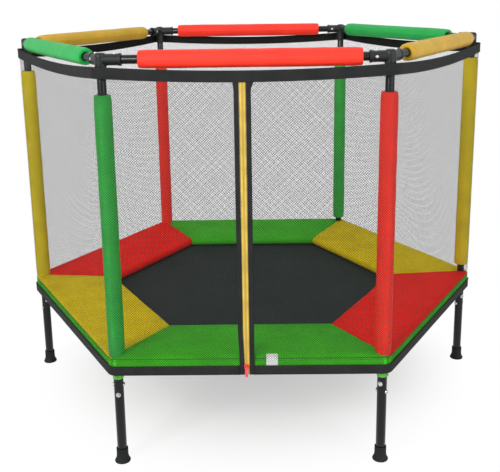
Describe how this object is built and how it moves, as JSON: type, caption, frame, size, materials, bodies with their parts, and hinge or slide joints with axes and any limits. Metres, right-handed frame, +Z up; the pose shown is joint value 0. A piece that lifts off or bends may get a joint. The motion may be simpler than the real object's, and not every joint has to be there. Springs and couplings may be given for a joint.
{
  "type": "trampoline",
  "caption": "Six-sided children's trampoline on short legs, with a padded edge, foam-sleeved posts and rails, and a mesh enclosure with a zipped entrance.",
  "frame": {"origin": "on the floor, under the middle of the mat", "axes": "+Z up; -Y is the front, the flat side with the zip; +X is to the right seen from the front"},
  "size_m": [1.4332, 1.2549, 1.0925],
  "materials": {
    "black_steel": "gloss black powder coat on steel tube",
    "moulded_black": "moulded black nylon, fine satin",
    "foot_rubber": "matt black rubber",
    "red_sleeve": "red woven cover over foam tube",
    "green_sleeve": "green woven cover over foam tube",
    "yellow_sleeve": "yellow woven cover over foam tube",
    "mat_weave": "charcoal woven polypropylene",
    "elastic_cord": "braided black elastic cord",
    "pad_cover": "woven coated cloth in green, red and yellow over foam",
    "net_mesh": "fine black knitted mesh, see-through",
    "black_webbing": "black webbing",
    "zip_tape": "mustard zip tape",
    "red_slider": "red enamelled zinc"
  },
  "bodies": {
    "root": {"foot_front_left": "foot_rubber", "leg_front_left": "black_steel", "post_front_left": "black_steel", "post_sleeve_front_left": "green_sleeve", "corner_joint_front_left": "moulded_black", "foot_front_right": "foot_rubber", "leg_front_right": "black_steel", "post_front_right": "black_steel", "post_sleeve_front_right": "red_sleeve", "corner_joint_front_right": "moulded_black", "foot_right": "foot_rubber", "leg_right": "black_steel", "post_right": "black_steel", "post_sleeve_right": "yellow_sleeve", "corner_joint_right": "moulded_black", "foot_back_right": "foot_rubber", "leg_back_right": "black_steel", "post_back_right": "black_steel", "post_sleeve_back_right": "green_sleeve", "corner_joint_back_right": "moulded_black", "foot_back_left": "foot_rubber", "leg_back_left": "black_steel", "post_back_left": "black_steel", "post_sleeve_back_left": "red_sleeve", "corner_joint_back_left": "moulded_black", "foot_left": "foot_rubber", "leg_left": "black_steel", "post_left": "black_steel", "post_sleeve_left": "yellow_sleeve", "corner_joint_left": "moulded_black", "frame_rail_front": "black_steel", "top_rail_front": "black_steel", "rail_sleeve_front": "red_sleeve", "frame_rail_right_front": "black_steel", "top_rail_right_front": "black_steel", "rail_sleeve_right_front": "yellow_sleeve", "frame_rail_right_back": "black_steel", "top_rail_right_back": "black_steel", "rail_sleeve_right_back": "green_sleeve", "frame_rail_back": "black_steel", "top_rail_back": "black_steel", "rail_sleeve_back": "red_sleeve", "frame_rail_left_back": "black_steel", "top_rail_left_back": "black_steel", "rail_sleeve_left_back": "yellow_sleeve", "frame_rail_left_front": "black_steel", "top_rail_left_front": "black_steel", "rail_sleeve_left_front": "green_sleeve", "mat_lacing": "elastic_cord", "pad": "pad_cover", "net": "net_mesh", "top_band": "black_webbing", "hem_band": "black_webbing", "zip_tape": "zip_tape", "zip_binding_left": "black_webbing", "zip_binding_right": "black_webbing"},
    "mat": {"jump_mat": "mat_weave"},
    "zip_slider": {"zip_slider": "red_slider"},
    "zip_pull": {"zip_pull": "red_slider"}
  },
  "joints": [
    {"name": "mat_bounce", "type": "slide", "parent": "root", "child": "mat", "axis": [0, 0, 1], "range_m": [-0.12, 0], "stiffness_N_per_m": 2500, "springref_m": 0.003, "deforming": ["mat_lacing"]},
    {"name": "zip_travel", "type": "slide", "parent": "root", "child": "zip_slider", "axis": [0, 0, 1], "range_m": [0, 0.722]},
    {"name": "pull_swing", "type": "hinge", "parent": "zip_slider", "child": "zip_pull", "pos_m": [-0.008, -0.62826, 0.282], "axis": [1, 0, 0], "range_deg": [-140, 0]}
  ]
}
